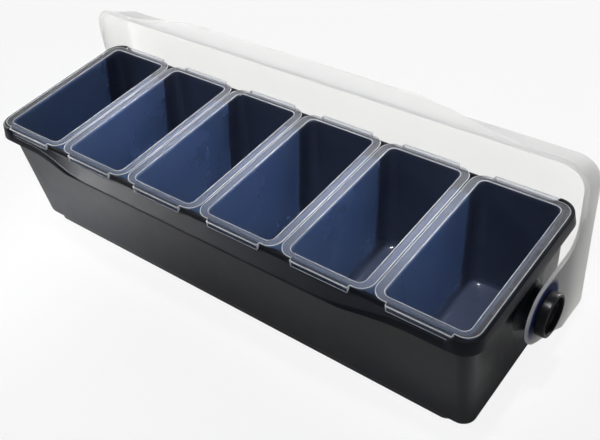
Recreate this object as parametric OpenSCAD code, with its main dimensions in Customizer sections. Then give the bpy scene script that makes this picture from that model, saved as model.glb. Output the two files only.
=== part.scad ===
// Countertop condiment caddy: a deep moulded tray holds six lift-out
// inserts, and one wide translucent lid swings on two side knobs.
// X runs along the tray, Y to the back, Z up. The origin is the centre
// of the foot on the table. The lid is drawn swung fully open.

/* [Inserts] */
// Number of lift-out inserts along the tray
insert_count = 6; // [2:1:8]
// Distance between the centres of neighbouring inserts
insert_pitch = 80; // [79.5:0.5:90]
// Length of an insert's rim along the tray
insert_rim_w = 79; // [70:0.5:79.5]
// Depth of an insert's rim, front to back
insert_rim_d = 143.5; // [135:0.5:150]
// Corner radius of an insert's rim, seen from above
insert_rim_r = 11; // [6:0.5:16]
// Width of the flat rim around the insert's mouth, along its long sides
insert_rim_side = 7.4; // [5.6:0.1:9]
// Width of the flat rim around the insert's mouth, at front and back
insert_rim_end = 5.1; // [4.8:0.1:8]
// Thickness of the rim plate
insert_rim_t = 2; // [1.5:0.1:3]
// Wall thickness of an insert
insert_wall = 1.4; // [1:0.1:2]
// Depth of an insert from its rim to the underside of its floor
insert_depth = 90; // [50:1:98]
// Lean of the insert's front and back walls
insert_lean = 12; // [6:0.5:14]
// Lean of the insert's long side walls
insert_side_lean = 2; // [1:0.5:5]
// Length of the finger tab at each end of an insert
tab_len = 50; // [20:1:60]
// How far a finger tab stands out past the rim
tab_reach = 3; // [2:0.1:3.6]
// Height of the finger tab's turned-down edge, from the top of the rim
tab_drop = 5.6; // [4:0.1:7]
// Thickness of the finger tab
tab_t = 1.5; // [1:0.1:2]

/* [Tray] */
// Height of the tray's shelf that the insert rims rest on
shelf_h = 109; // [100:1:130]
// Wall thickness of the tray
tray_wall = 2.2; // [1.6:0.1:2.4]
// Thickness of the tray's floor
tray_floor = 3; // [2:0.1:5]
// Clearance between the end inserts' walls and the tray
insert_gap_end = 0.8; // [0.5:0.1:2]
// Clearance between the inserts' walls and the tray, front and back
insert_gap_side = 1.2; // [0.6:0.1:2]
// Width of the shelf past the insert's wall, at front and back
shelf_front = 4; // [3:0.1:4.8]
// Gap between the end inserts' rims and the raised lip
lip_gap = 0.8; // [0.4:0.1:2]
// Thickness of the raised lip at the two ends
lip_t = 1.7; // [1.2:0.1:3]
// Height of the raised lip above the shelf
lip_h = 1.6; // [0.8:0.1:3]
// Height of the flange's skirt, below the shelf
flange_h = 10; // [6:0.5:16]
// How far the flange stands out past the wall
flange_out = 4.9; // [3.5:0.1:8]
// Draft of the end walls between flange and floor
end_draft = 2.6; // [1:0.1:6]
// Draft of the front and back walls between flange and floor
side_draft = 5; // [1:0.1:7]
// Corner radius of the wall, seen from above
wall_r = 10; // [6:0.5:16]
// Height of the foot below the walls
foot_h = 5.2; // [3:0.1:9]
// Inset of the foot at the two ends
foot_inset_end = 14; // [6:0.5:40]
// Inset of the foot at front and back
foot_inset_side = 1; // [0.8:0.1:8]
// Reach of the sloping ledge past the flange, at the front
ledge_reach = 8; // [4:0.5:12]
// Length of the ledge's full-width middle
ledge_flat = 226; // [120:2:300]
// Length of the whole ledge with its tapered ends
ledge_len = 390; // [310:2:440]
// Fall of the ledge from its back edge to its front edge
ledge_fall = 5.8; // [3:0.1:9]
// Thickness of the ledge
ledge_t = 2.6; // [2:0.1:3]

/* [Hinge] */
// Distance of the hinge axis behind the middle of the tray
axis_y = 11; // [0:0.5:20]
// Height of the hinge axis above the table
axis_z = 64; // [60:0.5:68]
// Diameter of the round boss on each end wall
boss_d = 35; // [28:0.5:40]
// Distance from a boss face to the outside of the wall at the flange
boss_out = 9.2; // [7:0.1:14]
// Diameter of the bearing neck that the lid turns on
neck_d = 22; // [16:0.5:26]
// Radial running clearance between neck and arm
neck_clear = 0.08; // [0.02:0.01:0.1]
// Diameter of the spigot that is pressed into the boss
spigot_d = 16; // [10:0.5:20]
// Length of the spigot
spigot_len = 9; // [5:0.5:9.5]
// Radial clearance of the spigot in its bore
spigot_clear = 0.02; // [0.01:0.01:0.05]
// Diameter of the knob
knob_d = 33.5; // [28:0.5:40]
// Thickness of the knob
knob_t = 7.6; // [5:0.1:12]
// Wall around the knob's hollow face
knob_rim = 2.4; // [1.5:0.1:4]
// Depth of the knob's hollow face
knob_hollow = 4.6; // [2:0.1:5]
// Side clearance of the lid's arm between boss and knob, each side
arm_side_clear = 0.35; // [0.2:0.05:0.8]

/* [Lid] */
// Angle through which the lid is swung open
open_angle = 94; // [80:0.5:94]
// Wall thickness of the lid
lid_wall = 2.4; // [1.6:0.1:3]
// Height of the lid's free edge above the hinge axis, lid closed
lid_edge_h = 50.2; // [49:0.1:54]
// Height of the lid's top above the hinge axis, lid closed
lid_top_h = 84; // [76:0.5:92]
// Distance of the lid's front edge in front of the hinge axis
lid_front = 91.2; // [90:0.2:96]
// Distance of the lid's back edge behind the hinge axis
lid_back = 57.5; // [50:0.5:58]
// Lean of the lid's front wall over its height
lid_front_lean = 12.7; // [4:0.1:20]
// Lean of the lid's end walls over their height
lid_end_lean = 1.6; // [0.5:0.1:4]
// Corner radius of the lid at the front, seen from above
lid_front_r = 26; // [12:1:40]
// Corner radius of the lid at the back, seen from above
lid_back_r = 3; // [3:0.5:9]
// Chamfer that eases the edge around the lid's top
lid_ease = 2.4; // [1:0.1:4]
// Height of the short wall across the back of the lid
back_wall_h = 16; // [6:0.5:17]
// Width of the bead along the lid's free edge
bead_w = 2; // [1:0.1:3]
// Reach of the finger lip past the front edge
finger_reach = 16; // [8:0.5:18]
// Length of the finger lip's full-width middle
finger_flat = 222; // [100:2:300]
// Length of the whole finger lip with its tapered ends
finger_len = 384; // [310:2:430]
// Radius of the arm around the hinge axis
arm_r = 25; // [22:0.5:28]
// Radius of the inside corner between arm and free edge
arm_fillet = 20; // [8:0.5:24]
// Radius of the rounded back corner of each end
arm_corner_r = 9; // [4:0.5:12]
// Height of the rounded back corner above the hinge axis
arm_corner_h = 46; // [40:0.5:48]

/* [Hidden] */
eps = 0.01;
slab = 0.02;
round_fn = 64;
hull_fn = 32;
curve_steps = 12;

// Insert, from the rim's own edges
rim_top = shelf_h + insert_rim_t;
mouth_w = insert_rim_w - 2 * insert_rim_side;
mouth_d = insert_rim_d - 2 * insert_rim_end;
mouth_r = 8;
mouth_lip = 0.5;
inner_w = mouth_w - 2 * mouth_lip;
inner_d = mouth_d - 2 * mouth_lip;
outer_w = inner_w + 2 * insert_wall;
outer_d = inner_d + 2 * insert_wall;
insert_drop = insert_depth - insert_rim_t;
floor_in_side = insert_drop * tan(insert_side_lean);
floor_in_end = insert_drop * tan(insert_lean);
floor_r = 12;
floor_round = 5;
tab_depth = insert_rim_d + 2 * tab_reach;
row_len = (insert_count - 1) * insert_pitch;

// Tray, from the insert rims outwards
wall_in_x = (row_len + outer_w) / 2 + insert_gap_end;
wall_in_y = outer_d / 2 + insert_gap_side;
wall_x = wall_in_x + tray_wall;
wall_y = wall_in_y + tray_wall;
foot_top = foot_h;
lip_in_x = (row_len + insert_rim_w) / 2 + lip_gap;
flange_x = max(wall_x + flange_out, lip_in_x + lip_t);
flange_y = wall_y + flange_out;
flange_r = wall_r + flange_out;
flange_low = shelf_h - flange_h;
shelf_y = outer_d / 2 + shelf_front;
scoop_x = (row_len + tab_len) / 2 + lip_gap + lip_t / 2;
tab_gap = 0.6;
scoop_z = rim_top - tab_drop - tab_gap;
ledge_y = flange_y + ledge_reach;
ledge_low = scoop_z - ledge_fall;

// Hinge stack on the axis, outwards from the boss face
boss_face = wall_x + boss_out;
arm_in = boss_face + arm_side_clear;
arm_out = arm_in + lid_wall;
cap_in = arm_out + arm_side_clear;
cap_out = cap_in + knob_t;

// Lid, in its closed attitude about the hinge axis
lid_half = arm_out;
lid_edge_t = lid_wall;
lid_wall_low = lid_edge_h;
lid_rise = lid_top_h - lid_edge_h;
lid_front_top = lid_front - lid_front_lean;
lid_half_top = lid_half - lid_end_lean;
arm_corner_y = lid_back - arm_corner_r;

// Direction from the hinge axis to the corner's centre and the angle at
// which the common outer tangent leaves both circles
corner_dist = norm([arm_corner_y, arm_corner_h]);
corner_turn = atan2(arm_corner_h, arm_corner_y);
tangent_turn = corner_turn - acos((arm_r - arm_corner_r) / corner_dist);
tangent_dir = [cos(tangent_turn), sin(tangent_turn)];
// The straight back edge lies a hair inside both rounds, so it crosses them
tangent_in = 0.03;

// Flat rounded rectangle between the given edges, as exact arcs
module plate_2d(x0, x1, y0, y1, r_front, r_back) {
    difference() {
        translate([x0, y0]) square([x1 - x0, y1 - y0]);
        for (c = [[x0, y0, 1, 1, r_front], [x1, y0, -1, 1, r_front],
                  [x0, y1, 1, -1, r_back], [x1, y1, -1, -1, r_back]])
            translate([c[0], c[1]])
                difference() {
                    translate([c[2] > 0 ? -eps : -c[4], c[3] > 0 ? -eps : -c[4]])
                        square(c[4] + eps);
                    translate([c[2] * c[4], c[3] * c[4]]) circle(c[4], $fn = round_fn);
                }
    }
}

// Rounded block, straight sided, centred in X and Y
module block(half_x, half_y, r, z0, z1) {
    translate([0, 0, z0])
        linear_extrude(z1 - z0)
            plate_2d(-half_x, half_x, -half_y, half_y, r, r);
}

// Thin rounded slab used as one end of a hull
module slab_at(x0, x1, y0, y1, r_front, r_back, z) {
    translate([0, 0, z])
        linear_extrude(slab)
            for (c = [[x0 + r_front, y0 + r_front, r_front],
                      [x1 - r_front, y0 + r_front, r_front],
                      [x0 + r_back, y1 - r_back, r_back],
                      [x1 - r_back, y1 - r_back, r_back]])
                translate([c[0], c[1]]) circle(c[2], $fn = hull_fn);
}

module slab_mid(half_x, half_y, r, z) {
    slab_at(-half_x, half_x, -half_y, half_y, r, r, z);
}

// Smooth 0..1 step used for the tapered ends of ledge and finger lip
function ease(t) = t * t * (3 - 2 * t);
function taper_points(flat, full, reach, base_y) = [
    for (i = [0 : curve_steps])
        [-full / 2 + (full - flat) / 2 * i / curve_steps,
         -base_y - reach * ease(i / curve_steps)],
    for (i = [curve_steps : -1 : 0])
        [full / 2 - (full - flat) / 2 * i / curve_steps,
         -base_y - reach * ease(i / curve_steps)]];

// Outside of the tray's walls with the foot step below
module tray_outer() {
    hull() {
        slab_mid(wall_x, wall_y, wall_r, shelf_h - slab);
        slab_mid(wall_x - end_draft, wall_y - side_draft, wall_r, foot_top);
    }
    block(wall_x - end_draft - foot_inset_end, wall_y - side_draft - foot_inset_side,
          wall_r, 0, foot_top + eps);
}

// Space inside the tray, down into the foot
module tray_inner() {
    hull() {
        slab_mid(wall_in_x, wall_in_y, wall_r - tray_wall, shelf_h + eps);
        slab_mid(wall_in_x - end_draft, wall_in_y - side_draft,
                 wall_r - tray_wall, foot_top + tray_floor);
    }
    block(wall_in_x - end_draft - foot_inset_end,
          wall_in_y - side_draft - foot_inset_side,
          wall_r - tray_wall, tray_floor, foot_top + tray_floor + 2 * eps);
}

// Flange with its raised end lips, hollow below, cut down along the
// front and back where the finger tabs hang over it
module flange() {
    difference() {
        block(flange_x, flange_y, flange_r, flange_low, shelf_h + lip_h);
        block(lip_in_x, flange_y - lip_t, flange_r - lip_t, shelf_h, shelf_h + lip_h + eps);
        block(wall_in_x, wall_in_y, wall_r - tray_wall, flange_low - eps, shelf_h + eps);
        difference() {
            block(flange_x - tray_wall, flange_y - tray_wall, flange_r - tray_wall,
                  flange_low - eps, scoop_z - tray_wall);
            block(wall_x - tray_wall / 2, wall_y - tray_wall / 2, wall_r - tray_wall / 2,
                  flange_low - 2 * eps, scoop_z);
        }
        for (s = [-1, 1])
            scale([1, s, 1])
                translate([-scoop_x, shelf_y, scoop_z])
                    cube([2 * scoop_x, flange_y, flange_h + lip_h]);
    }
}

// Wedge below the ledge's sloping top, drawn inset and lowered to cut
// the ledge down to a plate
module ledge_block(inset, drop) {
    hull() {
        translate([-ledge_len / 2, inset - flange_y, scoop_z - drop - slab])
            cube([ledge_len, flange_y - shelf_y, slab]);
        translate([0, inset, ledge_low - ledge_t - drop / 2])
            linear_extrude(ledge_t - drop / 2)
                polygon(concat(taper_points(ledge_flat, ledge_len, ledge_reach, flange_y),
                               [[ledge_len / 2, -shelf_y], [-ledge_len / 2, -shelf_y]]));
    }
}

// Sloping ledge along the front
module ledge() {
    difference() {
        ledge_block(0, 0);
        ledge_block(ledge_t, ledge_t);
    }
}

module boss(side) {
    scale([side, 1, 1])
        translate([wall_in_x - end_draft, axis_y, axis_z])
            rotate([0, 90, 0])
                cylinder(d = boss_d, h = boss_face - wall_in_x + end_draft, $fn = round_fn);
}

module base() {
    color("#1b1d21")
        difference() {
            union() {
                difference() {
                    union() {
                        tray_outer();
                        for (s = [-1, 1]) boss(s);
                    }
                    tray_inner();
                }
                flange();
                ledge();
            }
            for (s = [-1, 1])
                scale([s, 1, 1])
                    translate([boss_face - spigot_len - spigot_clear, axis_y, axis_z])
                        rotate([0, 90, 0])
                            cylinder(d = spigot_d + 2 * spigot_clear,
                                     h = spigot_len + 1, $fn = round_fn);
        }
}

// Knob with its neck and spigot, pointing along +X from the boss face
module hinge_knob(side) {
    color("#101114")
        scale([side, 1, 1])
            translate([boss_face, axis_y, axis_z])
                rotate([0, 90, 0])
                    difference() {
                        union() {
                            translate([0, 0, -spigot_len])
                                cylinder(d = spigot_d, h = spigot_len + eps, $fn = round_fn);
                            cylinder(d = neck_d, h = cap_in - boss_face + eps,
                                     $fn = round_fn);
                            translate([0, 0, cap_in - boss_face])
                                cylinder(d = knob_d, h = knob_t, $fn = round_fn);
                        }
                        translate([0, 0, cap_out - boss_face - knob_hollow])
                            cylinder(d = knob_d - 2 * knob_rim, h = knob_hollow + 1,
                                     $fn = round_fn);
                    }
}

// Outline of one arm, seen along X with the lid closed
module arm_2d() {
    difference() {
        union() {
            circle(arm_r, $fn = round_fn);
            translate([arm_corner_y, arm_corner_h]) circle(arm_corner_r, $fn = round_fn);
            polygon([[0, 0], (arm_r - tangent_in) * tangent_dir,
                     [arm_corner_y, arm_corner_h]
                         + (arm_corner_r - tangent_in) * tangent_dir,
                     [arm_corner_y, arm_corner_h]]);
            polygon([[-arm_r, 0], [0, 0], [arm_corner_y, arm_corner_h],
                     [lid_back, arm_corner_h], [lid_back, lid_edge_h + lid_edge_t],
                     [-arm_r - arm_fillet, lid_edge_h + lid_edge_t],
                     [-arm_r - arm_fillet, lid_edge_h], [-arm_r, lid_edge_h - arm_fillet]]);
        }
        translate([-arm_r - arm_fillet, lid_edge_h - arm_fillet])
            circle(arm_fillet, $fn = round_fn);
        circle(d = neck_d + 2 * neck_clear, $fn = round_fn);
    }
}

module arm(side) {
    scale([side, 1, 1])
        translate([arm_in, 0, 0])
            rotate([90, 0, 90]) linear_extrude(lid_wall) arm_2d();
}

// Outside and inside of the lid's shell, lid closed
module lid_outer() {
    hull() {
        slab_at(-lid_half, lid_half, -lid_front, lid_back, lid_front_r, lid_back_r,
                lid_wall_low);
        slab_at(-lid_half_top, lid_half_top, -lid_front_top, lid_back,
                lid_front_r, lid_back_r, lid_top_h - lid_ease);
        slab_at(-lid_half_top + lid_ease, lid_half_top - lid_ease,
                -lid_front_top + lid_ease, lid_back - lid_ease / 2,
                lid_front_r - lid_ease, lid_back_r - lid_ease / 2, lid_top_h - slab);
    }
}

module lid_inner() {
    hull() {
        slab_at(-lid_half + lid_wall, lid_half - lid_wall, -lid_front + lid_wall,
                lid_back - lid_wall, lid_front_r - lid_wall, lid_back_r - lid_wall,
                lid_wall_low - eps);
        slab_at(-lid_half_top + lid_wall, lid_half_top - lid_wall,
                -lid_front_top + lid_wall, lid_back - lid_wall,
                lid_front_r - lid_wall, lid_back_r - lid_wall, lid_top_h - lid_wall);
    }
}

// Flat bead along the free edge, growing into the finger lip at the front
module edge_bead() {
    translate([0, 0, lid_edge_h])
        linear_extrude(lid_edge_t)
            difference() {
                union() {
                    plate_2d(-lid_half - bead_w, lid_half + bead_w, -lid_front - bead_w,
                             lid_back, lid_front_r + bead_w, lid_back_r);
                    polygon(concat(
                        taper_points(finger_flat, finger_len, finger_reach - bead_w,
                                     lid_front + bead_w),
                        [[finger_len / 2, -lid_front], [-finger_len / 2, -lid_front]]));
                }
                plate_2d(-lid_half + lid_wall / 2, lid_half - lid_wall / 2,
                         -lid_front + lid_wall / 2, lid_back, lid_front_r - lid_wall / 2,
                         lid_back_r);
                translate([-lid_half - 2 * bead_w, -arm_r - arm_fillet])
                    square([2 * lid_half + 4 * bead_w, 2 * lid_back + arm_r]);
            }
}

module lid_closed() {
    difference() {
        lid_outer();
        lid_inner();
        translate([-arm_in, 0, lid_edge_h - eps])
            cube([2 * arm_in, lid_back + 1, lid_rise - back_wall_h]);
    }
    edge_bead();
    for (s = [-1, 1]) arm(s);
}

module lid() {
    color("#e9e9e6", 0.9)
        translate([0, axis_y, axis_z]) rotate([-open_angle, 0, 0]) lid_closed();
}

// One insert, with its rim on the shelf
module insert(place) {
    color("#8f95b4", 0.6)
        translate([(place - (insert_count + 1) / 2) * insert_pitch, 0, 0])
            difference() {
                union() {
                    block(insert_rim_w / 2, insert_rim_d / 2, insert_rim_r,
                          shelf_h, rim_top);
                    block(tab_len / 2, tab_depth / 2, tab_t / 2,
                          rim_top - tab_t, rim_top);
                    for (s = [-1, 1])
                        scale([1, s, 1])
                            translate([-tab_len / 2, tab_depth / 2 - tab_t,
                                       rim_top - tab_drop])
                                cube([tab_len, tab_t, tab_drop]);
                    hull() {
                        slab_mid(outer_w / 2, outer_d / 2, mouth_r + insert_wall,
                                 shelf_h);
                        slab_mid(outer_w / 2 - floor_in_side, outer_d / 2 - floor_in_end,
                                 floor_r, rim_top - insert_depth + floor_round);
                        slab_mid(outer_w / 2 - floor_in_side - floor_round,
                                 outer_d / 2 - floor_in_end - floor_round,
                                 floor_r - floor_round / 2, rim_top - insert_depth);
                    }
                }
                block(mouth_w / 2, mouth_d / 2, mouth_r,
                      rim_top - insert_rim_t / 2, rim_top + eps);
                hull() {
                    slab_mid(inner_w / 2, inner_d / 2, mouth_r, rim_top);
                    slab_mid(inner_w / 2 - floor_in_side, inner_d / 2 - floor_in_end,
                             floor_r - insert_wall,
                             rim_top - insert_depth + floor_round + insert_wall / 2);
                    slab_mid(inner_w / 2 - floor_in_side - floor_round,
                             inner_d / 2 - floor_in_end - floor_round,
                             floor_r - insert_wall - floor_round / 2,
                             rim_top - insert_depth + insert_wall);
                }
            }
}

base();
lid();
hinge_knob(-1);  // hinge_knob_left
hinge_knob(1);  // hinge_knob_right
for (i = [1 : insert_count])
    insert(i);
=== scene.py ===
import math

import bmesh
import bpy
from mathutils import Euler, Matrix, Vector


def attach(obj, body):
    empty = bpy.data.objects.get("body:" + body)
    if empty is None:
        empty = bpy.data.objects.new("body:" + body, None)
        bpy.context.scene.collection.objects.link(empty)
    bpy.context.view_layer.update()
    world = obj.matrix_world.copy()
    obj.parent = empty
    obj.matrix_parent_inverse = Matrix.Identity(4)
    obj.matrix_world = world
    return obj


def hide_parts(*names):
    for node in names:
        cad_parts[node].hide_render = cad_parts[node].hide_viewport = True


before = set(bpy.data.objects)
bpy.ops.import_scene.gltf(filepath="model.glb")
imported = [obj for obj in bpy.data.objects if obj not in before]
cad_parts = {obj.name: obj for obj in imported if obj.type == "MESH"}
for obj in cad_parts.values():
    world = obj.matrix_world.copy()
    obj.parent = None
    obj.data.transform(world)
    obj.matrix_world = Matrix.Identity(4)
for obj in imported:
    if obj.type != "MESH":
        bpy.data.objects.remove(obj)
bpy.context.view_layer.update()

# ---------------------------------------------------------------------------
# The tray. One black polypropylene moulding: leaning walls on a stepped foot,
# a flange with a raised lip round both ends, and a sloping ledge under the
# lid's finger lip. A boss on each end wall takes the spigot of a knob.
# ---------------------------------------------------------------------------
MM = 0.001
tray_half_x, tray_half_y, tray_corner_r = 236.0, 70.95, 10.0
tray_wall, tray_floor = 2.2, 3.0
end_draft, side_draft = 2.6, 5.0
foot_h, foot_in_x, foot_in_y = 5.2, 14.0, 1.0
under_inset, under_r = 7.0, 3.0
inside_inset, inside_r = 9.0, 1.5
shelf_z, scoop_z, lip_top_z = 109.0, 104.8, 110.6
flange_out, flange_inner, flange_low_z = 4.9, 2.7, 99.0
lipped_root_z, lowered_root_z = 102.6, 101.4
lip_in, lip_end_extra = 2.6, 1.1
flare_y, flare_x = 2.1, 0.9
scoop_end_x, scoop_start_x = 225.4, 218.5
scoop_out, scoop_in = 0.9, 0.6
ledge_reach, ledge_step, ledge_fall, ledge_drop = 8.0, 0.5, 5.3, 1.5
ledge_wall = 2.3
ledge_flat_x, ledge_end_x, ledge_y = 113.0, 195.0, 83.8
axis_y, axis_z = 11.0, 64.0
boss_face = 245.2
largest_setback = 0.48
merge_gap, shortest_edge = 4e-6, 2e-6
tray_sharp, tray_ease, tray_turn = 40, 3, 10


def held(t):
    return min(max(t, 0.0), 1.0)


def ease(t):
    t = held(t)
    return t * t * (3 - 2 * t)


def steps_between(a, b, count):
    return [a + (b - a) * i / count for i in range(count + 1)]


def both_signs(values):
    return sorted({sign * value for value in values for sign in (-1, 1)})


def stops_around(xs, ys, turn_steps):
    """Stops round a rounded rectangle, anticlockwise: ("end", side, y),
    ("long", side, x) and ("turn", side_x, side_y, angle)."""
    quarter = steps_between(0, 90, turn_steps)
    stops = [("end", 1, y) for y in ys]
    stops += [("turn", 1, 1, a) for a in quarter]
    stops += [("long", 1, x) for x in reversed(xs)]
    stops += [("turn", -1, 1, a + 90) for a in quarter]
    stops += [("end", -1, y) for y in reversed(ys)]
    stops += [("turn", -1, -1, a + 180) for a in quarter]
    stops += [("long", -1, x) for x in xs]
    stops += [("turn", 1, -1, a + 270) for a in quarter]
    return stops


def on_ring(stop, half_x, half_y, r, z, run_x, run_y):
    """Where a stop lies on a centred ring.
    Its x or y is given for a straight run of run_x or run_y."""
    in_x, in_y = half_x - r, half_y - r
    if stop[0] == "end":
        return (stop[1] * half_x, stop[2] * in_y / run_y, z)
    if stop[0] == "long":
        return (stop[2] * in_x / run_x, stop[1] * half_y, z)
    angle = math.radians(stop[3])
    return (stop[1] * in_x + r * math.cos(angle), stop[2] * in_y + r * math.sin(angle), z)


def eased(corners, steps):
    """The points of a profile, each corner (x, y, z, setback) replaced by a short curve."""
    points = []
    for i, corner in enumerate(corners):
        here, setback = Vector(corner[:3]), corner[3]
        if i in (0, len(corners) - 1):
            points.append(here)
            continue
        before = Vector(corners[i - 1][:3]) - here
        after = Vector(corners[i + 1][:3]) - here
        start = here + before.normalized() * min(setback, largest_setback * before.length)
        end = here + after.normalized() * min(setback, largest_setback * after.length)
        for t in steps_between(0, 1, steps):
            points.append(start * (1 - t) ** 2 + here * 2 * t * (1 - t) + end * t * t)
    return points


def shade_smooth(data, sharp):
    """Smooth shading that breaks where faces meet at more than the sharp angle."""
    for face in data.polygons:
        face.use_smooth = True
    data.set_sharp_from_angle(angle=math.radians(sharp))


def tidy_mesh(name, mesh, sharp):
    """Merges the mesh, drawn in millimetres, turns its faces outwards and makes it an object."""
    bmesh.ops.scale(mesh, vec=(MM, MM, MM), verts=mesh.verts)
    bmesh.ops.remove_doubles(mesh, verts=mesh.verts, dist=merge_gap)
    bmesh.ops.dissolve_degenerate(mesh, edges=mesh.edges, dist=shortest_edge)
    bmesh.ops.recalc_face_normals(mesh, faces=mesh.faces)
    data = bpy.data.meshes.new(name)
    mesh.to_mesh(data)
    mesh.free()
    shade_smooth(data, sharp)
    piece = bpy.data.objects.new(name, data)
    bpy.context.scene.collection.objects.link(piece)
    return piece


def drawn_grid(mesh, columns):
    """Points and faces from columns that stand side by side round a body."""
    grid = [[mesh.verts.new(point) for point in column] for column in columns]
    for column, following in zip(grid, grid[1:] + grid[:1]):
        for i in range(len(column) - 1):
            mesh.faces.new((column[i], following[i], following[i + 1], column[i + 1]))
    return grid


def skinned(name, columns, sharp=tray_sharp, marks=None):
    """A closed body from columns of points, capped at both ends.
    Marks, one for each point, become the attribute "edge"."""
    mesh = bmesh.new()
    layer = mesh.verts.layers.float.new("edge") if marks else None
    grid = drawn_grid(mesh, columns)
    if marks:
        for column, values in zip(grid, marks):
            for vert, value in zip(column, values):
                vert[layer] = value
    mesh.faces.new([column[0] for column in reversed(grid)])
    mesh.faces.new([column[-1] for column in grid])
    return tidy_mesh(name, mesh, sharp)


def turned(name, side, profile, sharp=tray_sharp, count=96):
    """A body turned about the hinge axis from (x, radius) points.
    Both ends of the profile have no radius."""
    columns = []
    for i in range(count):
        angle = 2 * math.pi * i / count
        columns.append([(side * x, axis_y + r * math.cos(angle), axis_z + r * math.sin(angle))
                        for x, r in profile])
    mesh = bmesh.new()
    drawn_grid(mesh, columns)
    return tidy_mesh(name, mesh, sharp)


def apply_modifiers(piece):
    """Swaps the piece's mesh for what its modifiers make of it."""
    result = bpy.data.meshes.new_from_object(
        piece.evaluated_get(bpy.context.evaluated_depsgraph_get()))
    piece.modifiers.clear()
    piece.data = result


def apply_boolean(piece, other, operation):
    cut = piece.modifiers.new("cut", "BOOLEAN")
    cut.object, cut.operation, cut.solver = other, operation, "EXACT"
    apply_modifiers(piece)
    bpy.data.objects.remove(other)


def mixed(row_a, row_b, share):
    return [tuple(a + (b - a) * share for a, b in zip(p, q)) for p, q in zip(row_a, row_b)]


def flange_corners(cut, reach):
    """Corners (out, z, setback, flare) of the flange.
    Cut 0 has the raised lip, cut 1 the lowered edge."""
    share = reach / ledge_reach
    out = flange_out + reach
    inner = out - ledge_wall
    top = scoop_z - ledge_step - ledge_fall * share
    low = flange_low_z - ledge_drop * share
    lipped = [(0.0, lipped_root_z, 1.2, 0.0), (flange_inner, lipped_root_z, 0.8, 0.0),
              (flange_inner, flange_low_z, 0.5, 1.0), (flange_out, flange_low_z, 0.7, 1.0),
              (flange_out, lip_top_z, 0.7, 0.0), (lip_in, lip_top_z, 0.5, 0.0),
              (lip_in, shelf_z, 0.4, 0.0), (-tray_wall, shelf_z, 1.0, 0.0)]
    lowered = [(0.0, lowered_root_z, 1.2, 0.0),
               (inner, min(top - tray_wall, low + 1.0), 0.8, 0.0),
               (inner, low, 0.5, 1.0), (out, low, 0.5, 1.0), (out, top, 0.8, 0.0),
               (scoop_out, scoop_z, 1.0, 0.0), (scoop_in, shelf_z, 0.6, 0.0),
               (-tray_wall, shelf_z, 1.0, 0.0)]
    return mixed(lipped, lowered, cut)


def tray_column(stop):
    """Points from the middle of the underside, up outside, over the flange and down inside."""
    cut = reach = 0.0
    if stop[0] == "long":
        x = abs(stop[2])
        cut = ease((scoop_end_x - x) / (scoop_end_x - scoop_start_x))
        if stop[1] < 0:
            reach = ledge_reach * ease((ledge_end_x - x) / (ledge_end_x - ledge_flat_x))
    low_x, low_y = tray_half_x - end_draft, tray_half_y - side_draft
    foot_x, foot_y = low_x - foot_in_x, low_y - foot_in_y
    r, r_in = tray_corner_r, tray_corner_r - tray_wall
    inside_z = foot_h + tray_floor
    rings = [(foot_x - under_inset, foot_y - under_inset, under_r, 0.0, 0.0),
             (foot_x, foot_y, r, 0.0, 1.0), (foot_x, foot_y, r, foot_h, 0.8),
             (low_x, low_y, r, foot_h, 2.6)]
    for out, z, setback, flare in flange_corners(cut, reach):
        end_extra = lip_end_extra * held(out / lip_in) + flare_x * flare
        out_y = min(tray_half_y + out + flare_y * flare, ledge_y)
        rings.append((tray_half_x + out + end_extra, out_y, r + out, z, setback))
    rings += [(low_x - tray_wall, low_y - tray_wall, r_in, inside_z, 3.0),
              (foot_x - tray_wall, foot_y - tray_wall, r_in, inside_z, 0.8),
              (foot_x - tray_wall, foot_y - tray_wall, r_in, tray_floor, 1.0),
              (foot_x - inside_inset, foot_y - inside_inset, inside_r, tray_floor, 0.0)]
    run_x, run_y = tray_half_x - r, tray_half_y - r
    corners = [on_ring(stop, half_x, half_y, ring_r, z, run_x, run_y) + (setback,)
               for half_x, half_y, ring_r, z, setback in rings]
    return eased(corners, tray_ease)


tray_xs = both_signs(steps_between(0, 110, 4) + steps_between(ledge_flat_x, ledge_end_x, 16)
                     + steps_between(200, 216, 2) + steps_between(scoop_start_x, scoop_end_x, 8))
tray_ys = steps_between(-58, 58, 6)
tray = skinned("tray", [tray_column(stop) for stop in stops_around(tray_xs, tray_ys, tray_turn)])
boss_profile = [(233.9, 0.0), (233.9, 21.2), (235.6, 20.0), (236.6, 18.9), (238.0, 18.0),
                (239.6, 17.5), (244.5, 17.5), (245.0, 17.3), (boss_face, 16.8),
                (boss_face, 8.3), (244.9, 8.02), (236.2, 8.02), (236.2, 0.0)]
for side in (-1, 1):
    apply_boolean(tray, turned("boss", side, boss_profile), "UNION")
shade_smooth(tray.data, tray_sharp)


def node(tree, kind, sockets=None, **settings):
    """A node with its settings.
    Each socket is set to a value or joined to another node's output."""
    made = tree.nodes.new(kind)
    for key, value in settings.items():
        setattr(made, key, value)
    for key, value in (sockets or {}).items():
        if isinstance(value, bpy.types.NodeSocket):
            tree.links.new(value, made.inputs[key])
        else:
            made.inputs[key].default_value = value
    return made


def add(tree, kind, sockets=None, **settings):
    return node(tree, "ShaderNode" + kind, sockets, **settings)


def blank_finish(name):
    finish = bpy.data.materials.new(name)
    finish.use_nodes = True
    finish.node_tree.nodes.clear()
    return finish, finish.node_tree


def noise(tree, place, scale, detail, **more):
    sockets = {"Vector": place, "Scale": scale, "Detail": detail, **more}
    return add(tree, "TexNoise", sockets).outputs["Fac"]


def bumped(tree, height, strength):
    """The normal of a surface with relief a tenth of a millimetre deep."""
    return add(tree, "Bump", {"Height": height, "Strength": strength,
                              "Distance": 0.1 * MM}).outputs["Normal"]


def spread(tree, factor, low, high):
    """A number between low and high that follows the factor."""
    return add(tree, "MapRange", {"Value": factor, "To Min": low,
                                  "To Max": high}).outputs["Result"]


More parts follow.
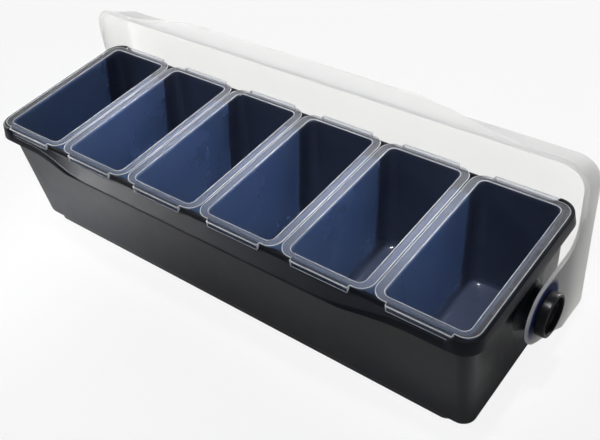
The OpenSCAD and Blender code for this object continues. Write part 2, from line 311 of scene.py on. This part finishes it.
def between_colours(tree, factor, low, high):
    ramp = add(tree, "ValToRGB", {"Fac": factor})
    first, last = ramp.color_ramp.elements
    first.position, last.position = 0.3, 0.7
    first.color, last.color = low + (1,), high + (1,)
    return ramp.outputs["Color"]


def moulded_black(name, dark, light, smooth, dull, grain):
    """Black moulded plastic with a spark-eroded grain, faint clouds and rubbed patches."""
    finish, tree = blank_finish(name)
    place = add(tree, "TexCoord").outputs["Object"]
    clouds = noise(tree, place, 16.0, 3.0)
    rubbed = noise(tree, place, 60.0, 6.0, Roughness=0.6, Distortion=0.4)
    fine = noise(tree, place, 2400.0, 2.0)
    shader = add(tree, "BsdfPrincipled", {
        "Base Color": between_colours(tree, clouds, dark, light),
        "Roughness": spread(tree, rubbed, smooth, dull),
        "Normal": bumped(tree, fine, grain), "Specular IOR Level": 0.3})
    add(tree, "OutputMaterial", {"Surface": shader.outputs["BSDF"]})
    return finish


tray_finish = moulded_black("tray_black", (0.0045, 0.0065, 0.012), (0.007, 0.0095, 0.016),
                            0.24, 0.38, 0.25)
tray.data.materials.clear()
tray.data.materials.append(tray_finish)
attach(tray, "tray")
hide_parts("base")

# ---------------------------------------------------------------------------
# The six inserts. Each is a thin clear moulding with leaning walls, a flat rim
# that rests on the tray's shelf, and a turned-down finger tab at each end of
# the rim. They drop in side by side and lift out.
# ---------------------------------------------------------------------------
insert_count, insert_pitch = 6, 80.0
rim_half_x, rim_half_y, rim_r, rim_z = 39.5, 71.75, 11.0, 111.0
rim_under, rim_bevel = 0.35, 0.08
mouth_half_x, mouth_half_y, mouth_r = 32.1, 66.65, 5.6
mouth_lip_h, mouth_step_h, mouth_step, mouth_step_r = 1.0, 1.3, 0.5, 0.2
line_w, line_share = 1.0, 0.2
tab_half, tab_ramp, tab_y, tab_edge, tab_drop = 25.0, 1.0, 74.75, 1.5, 5.6
skin_x, skin_y, skin_r = 33.0, 67.55, 9.4
floor_half_x, floor_half_y, floor_r, floor_z = 29.93, 48.85, 12.0, 21.0
core_inset, core_r = 14.0, 2.0
insert_wall, floor_round = 1.4, 5.0
insert_ease, insert_turn = 4, 8

# Heights, distances and marks over which one look of the plastic gives way to another: the rim,
# the edges, painted light towards the front of the walls and painted shade towards their back and
# bottom.
rim_band, mark_band = (0.1098, 0.1104), (0.15, 0.6)
shade_line_slope, shade_line_start, shade_line_band = 0.245, 0.0233, (-0.0008, 0.0008)
front_light_band, low_shade_band, gap_band = (-0.005, -0.060), (0.034, 0.024), (0.0706, 0.0714)
wall_blues = (0.17, 0.27, 0.52), (0.21, 0.32, 0.58)
# Painted light: the lighter blue for the front of the walls.
painted_light_blue = (0.24, 0.36, 0.58, 1)
# Painted shade: the darker blues for the back and the bottom of the walls.
painted_shade_blues = (0.065, 0.082, 0.145), (0.082, 0.102, 0.17)
rim_greys = (0.38, 0.39, 0.435), (0.44, 0.45, 0.495)
# Painted highlight and glow: the near white colour and the light given off along the marked
# edges.
highlight_white, edge_light, edge_glow = (0.70, 0.71, 0.74, 1), (0.95, 0.97, 1.0, 1), 0.07
clear_tint = (0.93, 0.94, 0.97, 1)
wall_density, rim_density, gap_density, edge_density = 0.50, 0.42, 0.12, 0.95
milk_share = 0.4


def insert_column(stop):
    """The points of an insert's wall under one stop, and how strongly each one's edge
    catches the light: first up the outside, then over the rim and down the inside."""
    tab = 0.0
    if stop[0] == "long":
        tab = ease((tab_half + tab_ramp / 2 - abs(stop[2])) / tab_ramp)
    run_x, run_y = rim_half_x - rim_r, rim_half_y - rim_r

    def at(half_x, half_y, r, z, setback):
        return on_ring(stop, half_x, half_y, r, z, run_x, run_y) + (setback,)

    def at_core(z):
        return at(floor_half_x - core_inset, floor_half_y - core_inset, core_r, z, 0.0)

    plain = [at(rim_half_x - rim_under, rim_half_y - rim_under, rim_r - rim_under, shelf_z, 0.1),
             at(rim_half_x - rim_bevel, rim_half_y - rim_bevel, rim_r, shelf_z + rim_bevel, 0.1),
             at(rim_half_x, rim_half_y, rim_r, shelf_z + rim_under, 0.1),
             at(rim_half_x, rim_half_y, rim_r, rim_z, 0.6)]
    tabbed = [at(rim_half_x, tab_y - tab_edge, rim_r, rim_z - tab_edge, 0.4),
              at(rim_half_x, tab_y - tab_edge, rim_r, rim_z - tab_drop, 0.4),
              at(rim_half_x, tab_y, rim_r, rim_z - tab_drop, 0.4),
              at(rim_half_x, tab_y, rim_r, rim_z, 0.6)]
    corners = [at_core(floor_z), at(floor_half_x, floor_half_y, floor_r, floor_z, floor_round),
               at(skin_x, skin_y, skin_r, shelf_z, 0.8)]
    corners += mixed(plain, tabbed, tab)
    top = corners.pop()
    foot = corners[-1]
    for share in (line_share, 1 - line_share):
        corners.append(tuple(a + (b - a) * share for a, b in zip(foot[:3], top[:3])) + (0.1,))
    corners.append(top)
    outer_x, outer_y = top[:2]
    inner_x, inner_y = at(mouth_half_x, mouth_half_y, mouth_r, rim_z, 0.0)[:2]
    width = math.hypot(outer_x - inner_x, outer_y - inner_y)
    for share in (line_w / width, 1 - line_w / width):
        corners.append((outer_x + (inner_x - outer_x) * share,
                        outer_y + (inner_y - outer_y) * share, rim_z, 0.1))
    corners += [at(mouth_half_x, mouth_half_y, mouth_r, rim_z, 0.35),
                at(mouth_half_x, mouth_half_y, mouth_r, rim_z - mouth_lip_h, 0.3),
                at(mouth_half_x - mouth_step, mouth_half_y - mouth_step,
                   mouth_r - mouth_step_r, rim_z - mouth_step_h, 0.3),
                at(floor_half_x - insert_wall, floor_half_y - insert_wall,
                   floor_r - insert_wall, floor_z + insert_wall, floor_round),
                at_core(floor_z + insert_wall)]
    end = 4 * tab * (1 - tab)
    weights = [0, 0, 0, 0, end, max(tab, end), end, end, 1, 0, 0, 1, 0, 0, 0, 0]
    marks = [weights[0]]
    for weight in weights[1:-1]:
        marks += [weight] * (insert_ease + 1)
    return eased(corners, insert_ease), marks + [weights[-1]]


insert_xs = both_signs([0, 8, 16, 22, 24.4, 24.7, 25, 25.3, 25.6, 26.4])
insert_ys = steps_between(-60, 60, 8)
insert_columns = [insert_column(stop) for stop in stops_around(insert_xs, insert_ys, insert_turn)]
insert_shape = skinned("insert_shape", [points for points, marks in insert_columns],
                       marks=[marks for points, marks in insert_columns])


def calc(tree, operation, *values):
    return add(tree, "Math", dict(enumerate(values)), operation=operation).outputs[0]


def rising(tree, value, band):
    """Goes from 0 where the value is the band's first to 1 where it is its second."""
    return add(tree, "MapRange", {"Value": value, "From Min": band[0],
                                  "From Max": band[1]}).outputs["Result"]


def blend(tree, factor, a, b, data_type="RGBA"):
    """A colour, or a number with data_type FLOAT, that goes from a to b with the factor."""
    return add(tree, "Mix", {"Factor": factor, "A": a, "B": b},
               data_type=data_type).outputs["Result"]


def clear_plastic(name):
    """Clear plastic with a faint milkiness: blue over the black tray, grey in the solid rim, with
    painted light towards the front of the walls, painted shade towards their back and bottom, and
    painted highlights and a glow along the edges, where the light that runs inside it comes out."""
    finish, tree = blank_finish(name)
    place = add(tree, "TexCoord").outputs["Object"]
    part = add(tree, "SeparateXYZ", {"Vector": place}).outputs
    across, height = part["Y"], part["Z"]
    rim = rising(tree, height, rim_band)
    marked = add(tree, "Attribute", attribute_name="edge").outputs["Fac"]
    edge = rising(tree, marked, mark_band)
    haze = noise(tree, place, 24.0, 4.0)
    bump = bumped(tree, noise(tree, place, 900.0, 2.0), 0.02)

    # Painted shade: behind a line that moves back as it rises, and near the floor, the walls turn
    # a darker blue.
    line_y = calc(tree, "MULTIPLY_ADD", height, shade_line_slope, shade_line_start)
    beyond = rising(tree, calc(tree, "SUBTRACT", across, line_y), shade_line_band)
    shade = calc(tree, "MAXIMUM", beyond, rising(tree, height, low_shade_band))
    blue = between_colours(tree, haze, *wall_blues)
    # Painted light: towards the front the walls turn a lighter blue.
    lit_colour = blend(tree, rising(tree, across, front_light_band), blue, painted_light_blue)
    wall_colour = blend(tree, shade, lit_colour, between_colours(tree, haze, *painted_shade_blues))
    face_colour = blend(tree, rim, wall_colour, between_colours(tree, haze, *rim_greys))
    # Painted highlight: the marked edges turn near white and more solid.
    colour = blend(tree, edge, face_colour, highlight_white)

    over_gap = rising(tree, calc(tree, "ABSOLUTE", across), gap_band)
    face_density = blend(tree, rim, wall_density, rim_density, "FLOAT")
    thin = blend(tree, over_gap, face_density, gap_density, "FLOAT")
    density = blend(tree, edge, thin, edge_density, "FLOAT")

    near = add(tree, "BsdfDiffuse", {"Color": colour, "Normal": bump}).outputs["BSDF"]
    through = add(tree, "BsdfTranslucent", {"Color": colour, "Normal": bump}).outputs["BSDF"]
    milky = add(tree, "MixShader", {0: milk_share, 1: near, 2: through}).outputs["Shader"]
    clear = add(tree, "BsdfTransparent", {"Color": clear_tint}).outputs["BSDF"]
    body = add(tree, "MixShader", {0: density, 1: clear, 2: milky}).outputs["Shader"]
    # Painted glow: the marked edges give off light though they are no lamp.
    glow = add(tree, "Emission", {"Color": edge_light, "Strength": spread(
        tree, edge, 0.0, edge_glow)}).outputs["Emission"]
    lined = add(tree, "AddShader", {0: body, 1: glow}).outputs["Shader"]

    outside = spread(tree, add(tree, "NewGeometry").outputs["Backfacing"], 1.0, 0.0)
    mirror = add(tree, "Fresnel", {"IOR": 1.5}).outputs["Fac"]
    gloss = add(tree, "BsdfAnisotropic", {"Roughness": 0.18, "Normal": bump}).outputs["BSDF"]
    shine = calc(tree, "MULTIPLY", mirror, outside)
    both = add(tree, "MixShader", {0: shine, 1: lined, 2: gloss})
    add(tree, "OutputMaterial", {"Surface": both.outputs["Shader"]})
    return finish


insert_finish = clear_plastic("insert_clear")


def row_tree(name):
    """Stands a copy of the shape on one of the row's places.
    Its inputs are Count, Pitch, Place and Finish."""
    tree = bpy.data.node_groups.new(name, "GeometryNodeTree")
    sockets = tree.interface
    sockets.new_socket("Geometry", in_out="INPUT", socket_type="NodeSocketGeometry")
    for label, kind in (("Count", "NodeSocketInt"), ("Pitch", "NodeSocketFloat"),
                        ("Place", "NodeSocketInt"), ("Finish", "NodeSocketMaterial")):
        sockets.new_socket(label, in_out="INPUT", socket_type=kind)
    sockets.new_socket("Geometry", in_out="OUTPUT", socket_type="NodeSocketGeometry")

    given = node(tree, "NodeGroupInput").outputs
    spans = calc(tree, "SUBTRACT", given["Count"], 1.0)
    start = calc(tree, "MULTIPLY", calc(tree, "MULTIPLY", spans, given["Pitch"]), -0.5)
    first = add(tree, "CombineXYZ", {"X": start}).outputs["Vector"]
    step = add(tree, "CombineXYZ", {"X": given["Pitch"]}).outputs["Vector"]
    row = node(tree, "GeometryNodeMeshLine", {"Count": given["Count"], "Start Location": first,
                                              "Offset": step}, mode="OFFSET")
    index = node(tree, "GeometryNodeInputIndex").outputs["Index"]
    elsewhere = node(tree, "FunctionNodeCompare", {2: index, 3: given["Place"]},
                     data_type="INT", operation="NOT_EQUAL").outputs["Result"]
    here = node(tree, "GeometryNodeDeleteGeometry", {"Geometry": row.outputs["Mesh"],
                                                     "Selection": elsewhere}, domain="POINT")
    copies = node(tree, "GeometryNodeInstanceOnPoints", {"Points": here.outputs["Geometry"],
                                                         "Instance": given["Geometry"]})
    solid = node(tree, "GeometryNodeRealizeInstances", {"Geometry": copies.outputs["Instances"]})
    dressed = node(tree, "GeometryNodeSetMaterial", {"Geometry": solid.outputs["Geometry"],
                                                     "Material": given["Finish"]})
    node(tree, "NodeGroupOutput", {"Geometry": dressed.outputs["Geometry"]})
    return tree


insert_row = row_tree("insert_row")
input_ids = {item.name: item.identifier for item in insert_row.interface.items_tree
             if item.in_out == "INPUT"}
for place in range(insert_count):
    piece = bpy.data.objects.new(f"insert_moulding_{place + 1}", insert_shape.data.copy())
    bpy.context.scene.collection.objects.link(piece)
    stand = piece.modifiers.new("stand", "NODES")
    stand.node_group = insert_row
    for label, value in (("Count", insert_count), ("Pitch", insert_pitch * MM),
                         ("Place", place), ("Finish", insert_finish)):
        stand[input_ids[label]] = value
    apply_modifiers(piece)
    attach(piece, f"insert_{place + 1}")
    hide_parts(f"insert_{place + 1}")
bpy.data.objects.remove(insert_shape)

# ---------------------------------------------------------------------------
# The lid. One frosted natural moulding: a shallow box whose end walls run down
# into round arms on the hinge axis, with a bead along its free edge that grows
# into the finger lip. It is drawn shut and then swung open.
# ---------------------------------------------------------------------------
open_angle = 94.0
lid_wall = 2.4
lid_half, lid_end_lean = 247.95, 1.6
lid_front, lid_front_lean, lid_back = -91.2, 12.7, 57.5
lid_edge_z, lid_top_z = 50.2, 84.0
lid_front_r, lid_back_r, least_front_r, least_back_r = 20.0, 2.0, 2.0, 0.4
crease, crease_less_inside = 6.2, 1.6
bead_out, edge_inside_h, plain_edge_h = 2.0, 2.6, 1.2
cap_inset = 12.0
skirt_z = 68.0
finger_reach, finger_flat_x, finger_end_x = 16.0, 113.0, 202.0
arm_r, arm_fillet = 25.0, 20.0
arm_corner_r, arm_corner_y, arm_corner_z = 9.0, 48.5, 46.0
arm_bend = -arm_r - arm_fillet
arm_round_end = 147.3
back_lean, back_lean_y = 4.0, 25.0
hole_r, hole_from_x, hole_to_x = 11.08, 240, 252
lid_run_x = lid_half - lid_front_r
lid_sharp, lid_ease, lid_turn = 34, 4, 10
hair = 0.02

lid_whites = (0.775, 0.775, 0.768), (0.805, 0.805, 0.798)
# Painted shade: the blue of the dark boss seen through the arm.
passed_white, boss_shade_blue = (0.95, 0.95, 0.943, 1), (0.06, 0.10, 0.34, 1)
boss_band, raised_band = (0.0250, 0.0215), (-0.014, 0.002)
lid_through = 0.72

corner_turn = math.atan2(arm_corner_z, arm_corner_y)
corner_far = math.hypot(arm_corner_y, arm_corner_z)
tangent_turn = corner_turn - math.acos((arm_r - arm_corner_r) / corner_far)
tangent_y, tangent_z = math.cos(tangent_turn), math.sin(tangent_turn)


def arm_low(y):
    """Height of an end wall's lower edge: its free edge, round the arm and up its back."""
    if y <= arm_bend:
        return lid_edge_z
    if y < -arm_r:
        return lid_edge_z - arm_fillet + math.sqrt(arm_fillet ** 2 - (y - arm_bend) ** 2)
    if y <= arm_r * tangent_y:
        return -math.sqrt(max(arm_r ** 2 - y ** 2, 0.0))
    leave_y = arm_corner_y + arm_corner_r * tangent_y
    if y < leave_y:
        share = (y - arm_r * tangent_y) / (leave_y - arm_r * tangent_y)
        return (arm_r + (arm_corner_r - arm_r) * share) * tangent_z + arm_corner_z * share
    return arm_corner_z - math.sqrt(max(arm_corner_r ** 2 - (y - arm_corner_y) ** 2, 0.0))


def leaned(y, z):
    """The y of a point once the lid's back is leaned in below its top."""
    share = held((y - back_lean_y) / (lid_back - back_lean_y))
    return y - back_lean * share * max(lid_top_z - z, 0.0) / (lid_top_z - arm_corner_z)


def on_lid_ring(stop, inset, z):
    """A stop on the lid's outside at that height, moved in by the inset."""
    up = held((z - lid_edge_z) / (lid_top_z - lid_edge_z))
    half_x = lid_half - lid_end_lean * up - inset
    front = lid_front + lid_front_lean * up + inset
    back = lid_back - inset
    r_front = max(lid_front_r - inset, least_front_r)
    r_back = max(lid_back_r - inset, least_back_r)
    if stop[0] == "end":
        y, edge_start = stop[2], lid_front + lid_front_r
        if y < arm_bend:
            y = arm_bend + (y - arm_bend) * (front + r_front - arm_bend) / (edge_start - arm_bend)
        return (stop[1] * half_x, leaned(min(y, back - r_back), z), z)
    if stop[0] == "long":
        r, y = (r_back, back) if stop[1] > 0 else (r_front, front)
        return (stop[2] * (half_x - r) / lid_run_x, leaned(y, z), z)
    r, centre_y = (r_back, back - r_back) if stop[2] > 0 else (r_front, front + r_front)
    angle = math.radians(stop[3])
    return (stop[1] * (half_x - r) + r * math.cos(angle),
            leaned(centre_y + r * math.sin(angle), z), z)


def lid_column(stop):
    """Points from the middle of the underside, down inside, round the edge and up outside."""
    beaded, low = True, lid_edge_z
    if stop[0] == "end" and stop[2] >= arm_bend:
        beaded, low = False, arm_low(stop[2])
    if (stop[0] == "long" and stop[1] > 0) or (stop[0] == "turn" and stop[2] > 0):
        beaded, low = False, skirt_z
    reach = bead_out if beaded else 0.0
    if stop[0] == "long" and stop[1] < 0:
        along = (finger_end_x - abs(stop[2])) / (finger_end_x - finger_flat_x)
        reach = bead_out + (finger_reach - bead_out) * (ease(along) + held(along)) / 2
    edge_top = low + (lid_wall if beaded else plain_edge_h)
    inner_top = lid_top_z - lid_wall

    def at(inset, z, setback):
        return on_lid_ring(stop, inset, z) + (setback,)

    corners = [at(lid_wall + cap_inset, inner_top, 0.0),
               at(lid_wall, inner_top, crease - crease_less_inside),
               at(lid_wall, low + edge_inside_h, 0.2), at(lid_wall, low, 0.7),
               at(-reach, low, 0.9), at(-reach, edge_top, 0.9),
               at(0.0, edge_top, 1.0 if beaded else 0.1), at(0.0, lid_top_z, crease),
               at(cap_inset, lid_top_z, 0.0)]
    return eased(corners, lid_ease)


lid_xs = both_signs(steps_between(0, 100, 4) + steps_between(finger_flat_x, finger_end_x, 14)
                    + [205, 215])
arm_ys = (steps_between(-65.2, -50, 3) + [arm_bend]
          + [arm_bend + arm_fillet * math.sin(math.radians(a)) for a in steps_between(9, 87, 9)]
          + [-arm_r - hair]
          + [-arm_r * math.cos(math.radians(a)) for a in steps_between(0, arm_round_end, 22)]
          + steps_between(26, 54, 6) + [lid_back - lid_back_r - hair, lid_back - lid_back_r])
lid = skinned("lid_moulding", [lid_column(stop) for stop
                               in stops_around(lid_xs, arm_ys, lid_turn)], lid_sharp)
swing = (Matrix.Translation((0, axis_y * MM, axis_z * MM))
         @ Matrix.Rotation(math.radians(-open_angle), 4, "X"))
lid.data.transform(swing)
drill_profile = [(hole_from_x, 0), (hole_from_x, hole_r), (hole_to_x, hole_r), (hole_to_x, 0)]
for side in (-1, 1):
    apply_boolean(lid, turned("drill", side, drill_profile), "DIFFERENCE")
shade_smooth(lid.data, lid_sharp)


def frosted_plastic(name):
    """Natural polypropylene with an etched face: white in the mass, and it lets what
    touches it show: over the dark boss, towards the top of the arm, it is painted blue as shade."""
    finish, tree = blank_finish(name)
    place = add(tree, "TexCoord").outputs["Object"]
    clouds = noise(tree, place, 9.0, 3.0)
    patches = noise(tree, place, 40.0, 4.0)
    bump = bumped(tree, noise(tree, place, 1500.0, 3.0), 0.18)

    part = add(tree, "SeparateXYZ", {"Vector": place}).outputs
    off_y = calc(tree, "SUBTRACT", part["Y"], axis_y * MM)
    off_z = calc(tree, "SUBTRACT", part["Z"], axis_z * MM)
    flat = add(tree, "CombineXYZ", {"X": off_y, "Y": off_z}).outputs["Vector"]
    far_off = add(tree, "VectorMath", {0: flat}, operation="LENGTH").outputs["Value"]
    # Painted shade: the arm turns blue where the dark boss lies behind it, towards its top.
    boss_shade = calc(tree, "MULTIPLY", rising(tree, far_off, boss_band),
                rising(tree, off_z, raised_band))
    plain = between_colours(tree, clouds, *lid_whites)

    face = add(tree, "BsdfPrincipled", {
        "Base Color": blend(tree, boss_shade, plain, boss_shade_blue), "IOR": 1.45,
        "Roughness": spread(tree, patches, 0.38, 0.5), "Normal": bump}).outputs["BSDF"]
    through = add(tree, "BsdfTranslucent", {
        "Color": blend(tree, boss_shade, passed_white, boss_shade_blue), "Normal": bump}).outputs["BSDF"]
    both = add(tree, "MixShader", {0: lid_through, 1: face, 2: through})
    add(tree, "OutputMaterial", {"Surface": both.outputs["Shader"]})
    return finish


lid_finish = frosted_plastic("lid_frosted")
lid.data.materials.clear()
lid.data.materials.append(lid_finish)
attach(lid, "lid")
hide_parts("lid")

# ---------------------------------------------------------------------------
# The hinge knobs. Each is a black nylon button with a dished face; its neck is
# the lid's bearing and its spigot is pressed into the tray's boss.
# ---------------------------------------------------------------------------
knob_profile = [(236.25, 0.0), (236.25, 7.3), (236.95, 8.0), (boss_face, 8.0), (boss_face, 11.0),
                (248.3, 11.0), (248.3, 15.9), (248.45, 16.4), (248.9, 16.7), (249.5, 16.75),
                (255.0, 16.75), (255.5, 16.6), (255.8, 16.2), (255.9, 15.7), (255.9, 15.2),
                (255.75, 14.75), (255.4, 14.5), (254.8, 14.4), (252.4, 14.2), (251.8, 14.0),
                (251.4, 13.5), (251.3, 12.8), (251.3, 0.0)]
knob_finish = moulded_black("knob_black", (0.006, 0.0065, 0.009), (0.010, 0.011, 0.014),
                            0.24, 0.36, 0.12)
for side, label in ((-1, "left"), (1, "right")):
    knob = turned(f"knob_{label}", side, knob_profile)
    knob.data.materials.append(knob_finish)
    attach(knob, "tray")
    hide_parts(f"hinge_knob_{label}")

# ---------------------------------------------------------------------------
# The table, the light and the camera. The caddy stands on a matt white sheet
# under a broad soft lamp at the back left. Small lamps with narrow beams lift
# the front, and the camera sees a white backdrop.
# ---------------------------------------------------------------------------
table_half, table_z = 5.0, -0.0002
table_whites = (0.86, 0.86, 0.86), (0.88, 0.88, 0.88)
table_glow = 0.88
backdrop_light, backdrop_white = 0.10, 0.98

table = bpy.data.meshes.new("table")
table.from_pydata([(side_x * table_half, side_y * table_half, table_z)
                   for side_x, side_y in ((-1, -1), (1, -1), (1, 1), (-1, 1))],
                  [], [(0, 1, 2, 3)])
floor = bpy.data.objects.new("table", table)
bpy.context.scene.collection.objects.link(floor)
floor_finish, tree = blank_finish("table_white")
mottle = noise(tree, add(tree, "TexCoord").outputs["Object"], 3.0, 2.0)
matt = add(tree, "BsdfDiffuse", {"Color": between_colours(tree, mottle, *table_whites)})
glow = add(tree, "Emission", {"Color": (1, 1, 1, 1), "Strength": 1.0})
path = add(tree, "LightPath").outputs
seen = calc(tree, "MAXIMUM", path["Is Camera Ray"], path["Is Transmission Ray"])
ground = add(tree, "MixShader", {0: calc(tree, "MULTIPLY", seen, table_glow),
                                 1: matt.outputs["BSDF"], 2: glow.outputs["Emission"]})
add(tree, "OutputMaterial", {"Surface": ground.outputs["Shader"]})
floor.data.materials.append(floor_finish)

world = bpy.data.worlds.new("studio")
world.use_nodes = True
bpy.context.scene.world = world
sky = world.node_tree
direct = add(sky, "LightPath").outputs["Is Camera Ray"]
backdrop = sky.nodes["Background"].inputs
backdrop["Color"].default_value = (1, 1, 1, 1)
sky.links.new(spread(sky, direct, backdrop_light, backdrop_white), backdrop["Strength"])


def soft_box(name, place, aim, width, height, power, beam=180):
    """A rectangular lamp that looks at the aim, with the beam's full angle in degrees."""
    lamp = bpy.data.lights.new(name, "AREA")
    lamp.shape, lamp.size, lamp.size_y, lamp.energy = "RECTANGLE", width, height, power
    lamp.spread = math.radians(beam)
    box = bpy.data.objects.new(name, lamp)
    bpy.context.scene.collection.objects.link(box)
    box.location = place
    box.rotation_euler = (Vector(aim) - Vector(place)).to_track_quat("-Z", "Y").to_euler()


soft_box("key", (-3.85, 1.50, 1.12), (0, 0, 0.05), 1.9, 0.7, 116)
soft_box("back", (0.1, 2.1, 0.35), (0.08, 0.1, 0.1), 1.4, 0.4, 37)
soft_box("side", (2.2, 0.3, 0.35), (0.2, 0, 0.08), 0.8, 0.4, 2)
soft_box("fill", (-1.80, -0.80, 1.28), (-0.15, -0.1, 0.08), 0.6, 0.6, 0.34, 10)
soft_box("ground", (-0.7, -2.1, 1.1), (-0.22, -0.17, 0), 0.15, 0.15, 0.14, 6.5)
soft_box("strip", (0, 0, 1.3), (0, 0, 0.05), 0.46, 0.1, 0.28, 8)
soft_box("edge", (0, 0.12, 1.3), (0, 0.09, 0.16), 0.5, 0.05, 0.06, 6)

camera = bpy.data.cameras.new("camera")
camera.sensor_width, camera.lens = 36.0, 51.938
viewer = bpy.data.objects.new("camera", camera)
bpy.context.scene.collection.objects.link(viewer)
viewer.location = (0.40432, -0.37300, 0.53777)
viewer.rotation_euler = Euler([math.radians(a) for a in (47.2765, 7.1941, 37.7432)])
bpy.context.scene.camera = viewer
bpy.context.scene.view_settings.view_transform = "Standard"
